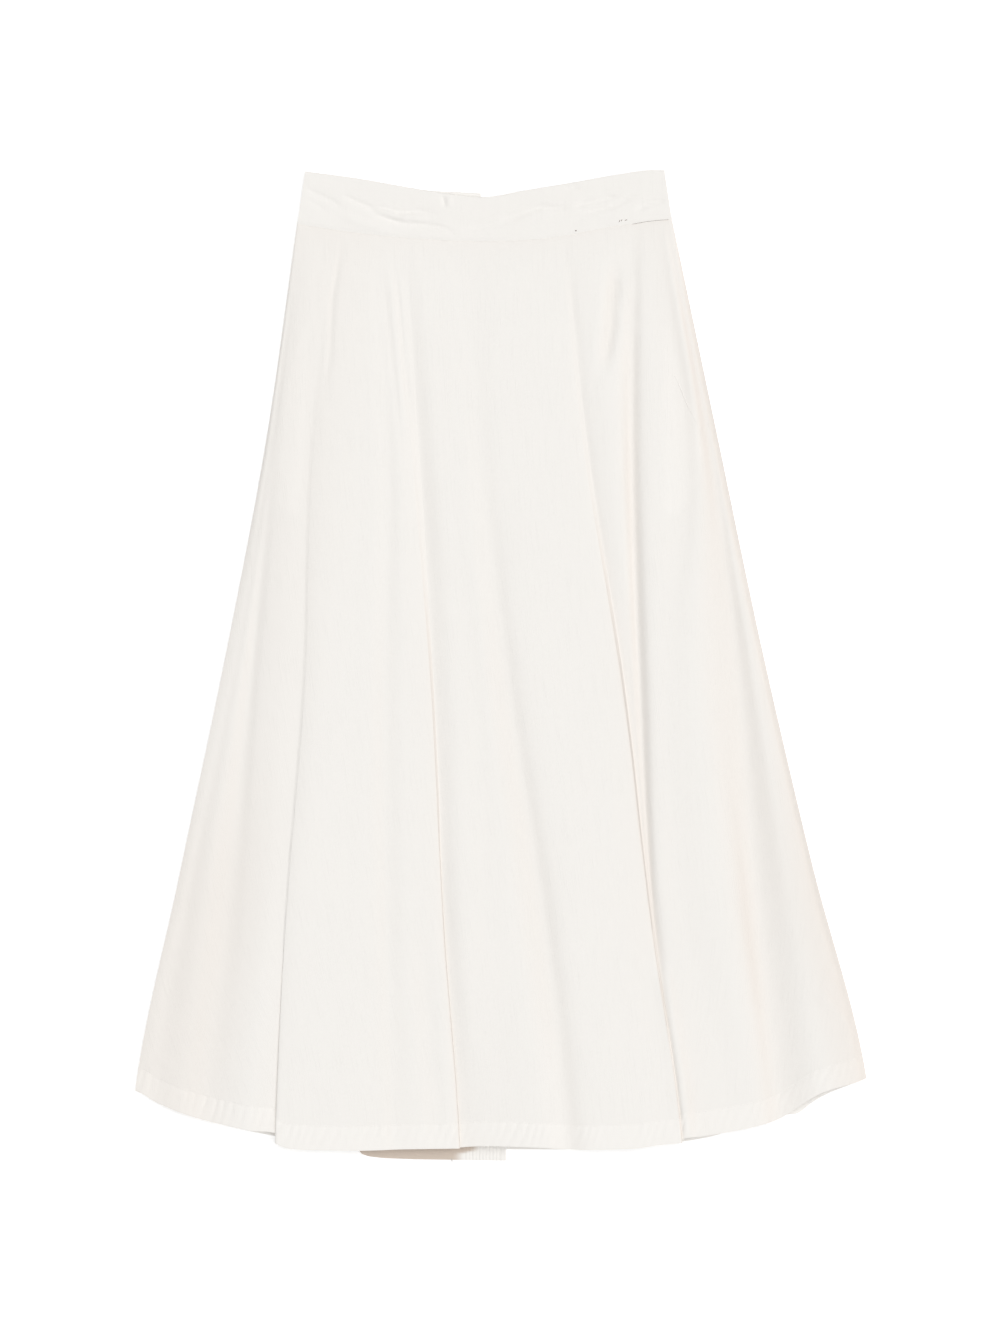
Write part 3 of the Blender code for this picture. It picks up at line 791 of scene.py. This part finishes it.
def bandWall(name, node, part, left, right, material, seed):
    top = bandTops[part]
    shares = np.linspace(0, 1, band["columns"][part])
    topX = top[0][0] + (top[-1][0] - top[0][0]) * shares
    bottomX = left + (right - left) * shares
    tall, radius = band["tall"], band["foldRadius"]
    # rows from the fold at the top down to the seam, closer at both
    spots = np.concatenate([[0, 0.12, 0.4, 0.8, radius], np.linspace(2.2, tall - 4, 26),
                            tall - np.array([2.8, 1.8, 1, 0.4, 0])])
    height, creases, deepest = band["height"], bandCreases, band["deepest"]
    if part != "front":
        height, creases, deepest = band["backHeight"], backBandCreases, 0
    grid = flatGrid(onCurve(top, topX), onCurve(waistSeam, bottomX), spots / tall, height)
    away = tall - spots
    folded = np.clip(1 - (1 - spots / radius) ** 2, 0.03, 1)
    folded = np.sqrt(np.where(spots < radius, folded, 1))
    sewn = band["seamHalf"]
    half = band["half"] * np.minimum(folded, sewn + (1 - sewn) * soften(away / 3.5))
    lift = creaseAlong(grid, creases) * band["creaseScale"] + unevenness(grid, *band["unevenness"], seed)
    sides = np.minimum(shares, shares[::-1]) * (right - left)
    hold = soften(sides / 8)[:, None] * (soften(spots / 6) * (0.35 + 0.65 * soften(away / 7)))[None, :]
    grid[:, :, 2] += np.maximum(lift * hold, deepest)
    piece = clothWall(name, grid, half, material)
    standFor(node)
    return piece


def makeBands(material):
    start, end = waistSeam[0][0], waistSeam[-1][0]
    leftEnd, rightStart = bandTops["left"][-1][0], bandTops["right"][0][0]
    return (bandWall("waistbandFront", "waistband_front", "front", start, end, material, 11),
            bandWall("waistbandBackLeft", "waistband_back_left", "left", start, leftEnd, material, 12),
            bandWall("waistbandBackRight", "waistband_back_right", "right", rightStart, end, material, 13))


# The back: two halves, flat on the floor, joined down the middle by the zip and a seam
backHems = {
    "left": [(-347.5, -404), (-286, -430), (-214, -447), (-150, -455.6), (-140, -456.2),
             (-136.6, -456.9), (-135.3, -459.4), (-133, -462.6), (-128, -465.2), (-118, -467),
             (-94.5, -468.4), (-47, -469.4), (5.85, -470.3)],
    "right": [(6.15, -459.6), (90, -459), (150, -454.6), (190, -449.6), (204, -446.6),
              (224, -439.6), (268, -427), (286, -423.6), (292, -418.6), (347.5, -392)],
}
backCreases = [
    (9, 1.2, (330, 260), (322, 420), (305, 640), (288, 900)),
    (10, 1, (420, 300), (430, 520), (424, 760), (430, 1020)),
    (9, 1.2, (560, 280), (575, 500), (590, 720), (612, 1000)),
    (8, 1, (640, 300), (664, 480), (700, 700), (742, 960)),
    (8, 1, (270, 700), (235, 880), (205, 1040)),
]
back = {
    "cloth": 0.8,
    "hemHalf": (0.58, 0.25),  # half the hem's thickness, and at both its edges
    "length": 862,
    "rows": 110,
    "columns": 112,
    "closer": [(-138.6, -114, 40), (-36, 5.6, 60)],  # columns where the left hem steps and pleats
    "centre": -18,  # x of the centre seam at the waist
    "lie": 0.02,  # above the floor
    "threadHeight": 0.5,  # of the stitches, above the hem's middle
    "mostLift": 2,
    "cut": (0.37, 0.90),
    "unevenness": (70, 0.5),
    "seeds": {"left": 21, "right": 22},
    "pleats": (0.16, 3.2),  # height and spacing of the fine pleats near the middle
    "doubled": 0.5,  # how much higher the cloth lies where it is doubled at the opening
    # pixels across the hem where its inside lies in painted shadow, and how much further the upper rows do
    "dark": (355, 464),
    "darkMore": (17, -464.5, -459.5),
}


def backGrid(side, shares):
    hem = backHems[side]
    first, last = hem[0][0], hem[-1][0]
    spread = np.linspace(first, last, back["columns"])
    gap = front["gap"] / 2
    edge, start, end = -1, back["centre"] + gap, waistSeam[-1][0]
    if side == "left":
        edge, start, end = 0, waistSeam[0][0], back["centre"] - gap
        spread = np.sort(np.concatenate([spread, *(np.linspace(*part) for part in back["closer"])]))
    across = (spread - first) / (last - first)
    tops = onCurve(waistSeam, start + (end - start) * across) - (0, front["gap"])
    grid = flatGrid(tops, onCurve(hem, spread), shares, 0)
    outer = lineAt(frontLines[edge], shares)[:, 0]
    reach = 1 - across if side == "left" else across
    grid[:, :, 0] += reach[:, None] * (outer - grid[edge, :, 0])[None, :]
    return grid


def makeBack(side, node, material, hemMaterial, seed):
    hemShare = front["hemDepth"] / back["length"]
    title = "back" + side.capitalize()
    shares = np.linspace(0, 1 - hemShare * 0.9, back["rows"])
    grid = backGrid(side, shares)
    lift = creaseAlong(grid, backCreases) + unevenness(grid, *back["unevenness"], seed)
    lift = np.clip(lift, 0, back["mostLift"])
    hold = soften(fromSides(grid) / 6)[:, None] * soften(shares / 0.03)
    hold *= soften((1 - hemShare - shares) / 0.04)
    grid[:, :, 2] += back["cloth"] / 2 + back["lie"] + lift * hold
    area = areaOf(grid)
    panel = clothWall(title + "Panel", grid, back["cloth"] / 2, material)
    standFor(node)

    shares = hemRows(1 - hemShare, hemShare * 0.02, hemShare * 0.07, 14)
    grid = backGrid(side, shares)
    thick, thin = back["hemHalf"]
    grid[:, :, 2] += thick + back["lie"] + np.clip(hemPuckers(grid, seed), 0, 1) * 0.6
    x, y = grid[:, :, 0], grid[:, :, 1]
    if side == "left":
        height, spacing = back["pleats"]
        pleats = ramp(x, -36, -32) * ramp(x, 0, -2) * (1 + np.sin(x * 2 * math.pi / spacing))
        grid[:, :, 2] += soften((x - 0.2) / 0.9) * back["doubled"] + pleats * height
    # painted shadow: the back hem's inside is darkened between these pixels
    first, last = back["dark"]
    more, lower, upper = back["darkMore"]
    px = x / view["pixel"] + view["middle"][0]
    inside = soften((px - first) / 3) * soften((last + more * ramp(y, lower, upper) - px) / 12)
    path = grid[:, 1] + normalsOf(grid)[:, 1] * back["threadHeight"]
    half = np.full(len(shares), thick)
    half[[0, -1]] = thin
    hem = clothWall(title + "Hem", grid, half, hemMaterial, inside=inside)
    standFor(node)
    return panel, hem, path, area


# Pocket bags of white cotton, pressed flat inside both side seams
pocketOutlines = {
    "right": [(152, 326), (165, 326), (180, 268), (196, 206), (190, 172),
              (179, 147), (158, 132), (148, 160)],
    "left": [(-191, 326), (-178, 326), (-182, 160), (-188, 138), (-204, 141),
             (-217, 156), (-217, 188), (-205, 268)],
}
pockets = {
    "height": 1.8,
    "cut": (0.052, 0.20),
    "half": 0.45,
    "points": 97,  # round the edge
    "softEdge": 9,  # over which a bag starts to show through the front
    # how far out each ring of points lies, and its share of the thickness: a rounded edge, a sewn line, and
    # the flat middle
    "rings": [(1, 0.3), (0.995, 0.75), (0.985, 1), (0.96, 0.6), (0.93, 0.9), (0.9, 1), (0.8, 0.9),
              (0.65, 0.8), (0.45, 0.8), (0.2, 0.8), (0.0002, 0.8)],
}


def closeRing(piece):
    # joins both ends of a wall that runs all the way round, and its middle
    shape = bmesh.new()
    shape.from_mesh(piece.data)
    bmesh.ops.remove_doubles(shape, verts=shape.verts, dist=0.05 * mm)
    inner = [face for face in shape.faces if sum(len(edge.link_faces) > 2 for edge in face.edges) > 1]
    bmesh.ops.delete(shape, geom=inner, context="FACES")
    shape.to_mesh(piece.data)
    shape.free()


def makePocket(side, node, material):
    outline = np.array(pocketOutlines[side], float)
    turns = np.linspace(0, len(outline), pockets["points"])
    closed = np.concatenate([outline[-1:], outline, outline[:2]])
    knots = np.arange(-1, len(outline) + 2)
    ring = np.stack([hermite(knots, closed[:, i], np.gradient(closed[:, i]), turns) for i in (0, 1)], axis=1)
    middle = np.tile(ring[:-1].mean(axis=0), (len(ring), 1))
    shares, thickness = np.array(pockets["rings"]).T
    grid = flatGrid(middle, ring[::-1], shares, pockets["height"])
    bag = clothWall("pocketBag" + side.capitalize(), grid, pockets["half"] * thickness, material)
    closeRing(bag)
    standFor(node)
    return bag, areaOf(grid)


# Stitches: small rounded lengths of thread along paths, by Geometry Nodes
stitching = {
    "length": 2.3,
    "radius": 0.2,
    "spacing": 3.1,
    "wander": 0.05,
}


def oneStitch(name, length, radius):
    # a bean of thread along z
    rings = [(-0.5, 0.15), (-0.42, 0.7), (-0.2, 1), (0.2, 1), (0.42, 0.7), (0.5, 0.15)]
    points = [(math.cos(a) * radius * wide * mm, math.sin(a) * radius * wide * mm, at * length * mm)
              for at, wide in rings for a in np.arange(6) * math.pi / 3]
    faces = [(r * 6 + k, r * 6 + (k + 1) % 6, (r + 1) * 6 + (k + 1) % 6, (r + 1) * 6 + k)
             for r in range(len(rings) - 1) for k in range(6)]
    faces += [tuple(range(6))[::-1], tuple(range(len(rings) * 6 - 6, len(rings) * 6))]
    mesh = bpy.data.meshes.new(name)
    mesh.from_pydata(points, [], faces)
    mesh.shade_smooth()
    return bpy.data.objects.new(name, mesh)


def stitchTree():
    # lays stitches along a curve, each one turned a little
    tree = bpy.data.node_groups.new("stitches", "GeometryNodeTree")
    tree.interface.new_socket("Geometry", in_out="INPUT", socket_type="NodeSocketGeometry")
    inputs = {}
    for name, kind in (("Stitch", "Object"), ("Spacing", "Float"), ("Wander", "Float"), ("Seed", "Int"),
                       ("Material", "Material")):
        made = tree.interface.new_socket(name, in_out="INPUT", socket_type="NodeSocket" + kind)
        inputs[name] = made.identifier
    tree.interface.new_socket("Geometry", in_out="OUTPUT", socket_type="NodeSocketGeometry")
    kinds = ("NodeGroupInput", "GeometryNodeResampleCurve", "GeometryNodeCurveToPoints",
             "GeometryNodeObjectInfo", "GeometryNodeInstanceOnPoints", "FunctionNodeRandomValue",
             "ShaderNodeVectorMath",
             "GeometryNodeRotateInstances", "GeometryNodeRealizeInstances", "GeometryNodeSetMaterial",
             "NodeGroupOutput")
    made = [tree.nodes.new(kind) for kind in kinds]
    given, even, spots, thread, lay, wander, less, turn, real, paint, done = made
    even.mode = "LENGTH"
    spots.mode = "EVALUATED"
    wander.data_type = "FLOAT_VECTOR"
    less.operation = "SCALE"
    less.inputs["Scale"].default_value = -1
    links = [
        (given, "Geometry", even, "Curve"), (given, "Spacing", even, "Length"),
        (even, "Curve", spots, "Curve"), (spots, "Points", lay, "Points"),
        (spots, "Rotation", lay, "Rotation"), (given, "Stitch", thread, "Object"),
        (thread, "Geometry", lay, "Instance"),
        (given, "Wander", wander, "Max"), (given, "Wander", less, "Vector"), (less, "Vector", wander, "Min"),
        (given, "Seed", wander, "Seed"), (lay, "Instances", turn, "Instances"),
        (wander, "Value", turn, "Rotation"), (turn, "Instances", real, "Geometry"),
        (real, "Geometry", paint, "Geometry"), (given, "Material", paint, "Material"),
        (paint, "Geometry", done, "Geometry"),
    ]
    for source, key, target, socket in links:
        tree.links.new(source.outputs[key], target.inputs[socket])
    return tree, inputs


def guideAlong(name, paths):
    # a curve through each path of (x, y, z) points in millimetres
    data = bpy.data.curves.new(name, "CURVE")
    data.dimensions = "3D"
    for path in paths:
        spline = data.splines.new("POLY")
        spline.points.add(len(path) - 1)
        for point, spot in zip(spline.points, path):
            point.co = (*(float(n) * mm for n in spot), 1)
    guide = bpy.data.objects.new(name + " guide", data)
    bpy.context.scene.collection.objects.link(guide)
    return guide


def pieceFrom(guide, name):
    # a guide's finished mesh as a piece, in place of the guide
    bpy.context.view_layer.update()
    graph = bpy.context.evaluated_depsgraph_get()
    mesh = bpy.data.meshes.new_from_object(guide.evaluated_get(graph), depsgraph=graph)
    bpy.data.objects.remove(guide)
    return pieceOf(name, mesh)


def stitchAlong(name, node, paths, stitch, material, seed):
    guide = guideAlong(name, paths)
    tree, inputs = stitchTrees
    rows = guide.modifiers.new("stitches", "NODES")
    rows.node_group = tree
    settings = {"Stitch": stitch, "Spacing": stitching["spacing"] * mm, "Wander": stitching["wander"],
                "Seed": seed, "Material": material}
    for key, value in settings.items():
        rows[inputs[key]] = value
    piece = pieceFrom(guide, name)
    standFor(node)
    return piece


def onCloth(cloth, points, lift, spacing=1.5):
    # a smooth path over the cloth through pixels of the photograph, lift millimetres above its middle
    corners = np.array([place(*point) for point in points])
    before = lengthsAlong(corners, 0)
    spots = np.linspace(0, before[-1], max(3, round(before[-1] / spacing)))
    x, y = [hermite(before, corners[:, i], np.gradient(corners[:, i], before), spots) for i in (0, 1)]
    path = []
    for px, py in zip(x, y):
        away = np.hypot(cloth[:, 0] - px, cloth[:, 1] - py)
        near = np.argsort(away)[:4]
        share = 1 / (away[near] + 0.2)
        path.append((px, py, float((cloth[near, 2] * share).sum() / share.sum()) + lift))
    return path


def threadAlong(name, paths, radius, material):
    # a loose length of thread along each path
    guide = guideAlong(name, paths)
    guide.data.bevel_depth = radius * mm
    guide.data.bevel_resolution = 2
    guide.data.use_fill_caps = True
    piece = pieceFrom(guide, name)
    piece.data.materials.clear()
    piece.data.materials.append(material)
    piece.data.shade_smooth()


# Threads that show by themselves, in pixels of the photograph, with heights in millimetres
threadMarks = {
    "radii": {"seamGap": 0.1, "brown": 0.26, "white": 0.26, "looseEnd": 0.3},
    "seamGap": [
        [(632, 224, 4), (638, 222.9, 4), (645, 221.6, 4), (653, 220.6, 4), (661, 219.9, 4),
         (668, 219.6, 4)],
    ],
    "brown": [
        [(618.4, 222, 4.3), (619, 221, 4.4), (619.6, 219.8, 4.3)],
        [(620.6, 221, 4.4), (621, 220.2, 4.4), (621.4, 219.4, 4.4)],
        [(624.2, 220.4, 4.4), (625.4, 219.9, 4.4), (626.6, 219.7, 4.4)],
        [(574.7, 230.9, 4.4), (575.3, 230.5, 4.6), (575.8, 230, 4.5)],
        [(574.9, 230.3, 4.4), (575.4, 230.7, 4.6), (575.7, 231, 4.4)],
    ],
    "white": [
        [(674, 376), (680, 389), (686, 404), (692, 416), (698, 428)],
    ],
    "looseEnd": [
        [(450.5, 1157.5, 1.2), (451, 1159.4, 0.9), (452, 1160.4, 0.4), (451.2, 1161.2, 0.3)],
    ],
    "backHemRows": [[(px, py, 1.17) for px in (467, 476, 486, 498)] for py in (1150, 1153.4, 1157)],
}


def toSkirt(path):
    return [(*place(px, py), z) for px, py, z in path]


makeCamera()
makeStudio()
skirtCotton = cottonFinish("skirt cotton")
hemCotton = cottonFinish("hem cotton", 1.02)
bandCotton = cottonFinish("waistband cotton", 1)
pocketCotton = cottonFinish("pocket cotton", 0.99)
whiteThread = threadFinish("white thread", (0.93, 0.905, 0.87))
brownThread = threadFinish("brown thread", (0.16, 0.10, 0.07))
greyThread = threadFinish("grey thread", (0.5, 0.49, 0.48))
zipWeave = threadFinish("zip tape", (0.86, 0.84, 0.81))

frontPanel, frontHem, frontPath, frontArea, frontCloth = makeFront(skirtCotton, hemCotton)
print("front made:", len(frontPanel.data.polygons) * 2, "triangles,", round(frontArea, 3), "square metres")
frontBand, backLeftBand, backRightBand = makeBands(bandCotton)
print("waistband made")
sides = {"left": "back_left_panel", "right": "back_right_panel"}
backs = {side: makeBack(side, node, skirtCotton, hemCotton, back["seeds"][side])
         for side, node in sides.items()}
print("back made")
bags = {side: makePocket(side, "pocket_bag_" + side, pocketCotton) for side in sides}
zipTape = bpy.data.objects["back_zip"]
for slot in zipTape.material_slots:
    slot.material = zipWeave
print("pockets and zip made")

stitchTrees = stitchTree()
hemStitch = oneStitch("hem stitch", stitching["length"], stitching["radius"])
frontStitches = stitchAlong("frontHemStitches", "front_panel", [frontPath], hemStitch, whiteThread, 1)
backStitches = {}
for seed, (side, node) in enumerate(sides.items(), 2):
    rows = [backs[side][2]]
    if side == "left":
        rows += [toSkirt(row) for row in threadMarks["backHemRows"]]
    name = "back" + side.capitalize() + "HemStitches"
    backStitches[side] = stitchAlong(name, node, rows, hemStitch, whiteThread, seed)

for name, mark, material, slot in (("brownThreads", "brown", brownThread, "waistband_cotton"),
                                   ("seamGapThreads", "seamGap", brownThread, "waistband_cotton"),
                                   ("sideSeamThreads", "white", whiteThread, "skirt_cotton"),
                                   ("looseThreadEnd", "looseEnd", greyThread, "skirt_cotton")):
    paths = [onCloth(frontCloth, line, 0.3) if mark == "white" else toSkirt(line)
             for line in threadMarks[mark]]
    threadAlong(name, paths, threadMarks["radii"][mark], material)
print("stitches made")

for side, stitches in backStitches.items():
    panel, hem, path, area = backs[side]

bpy.context.view_layer.update()
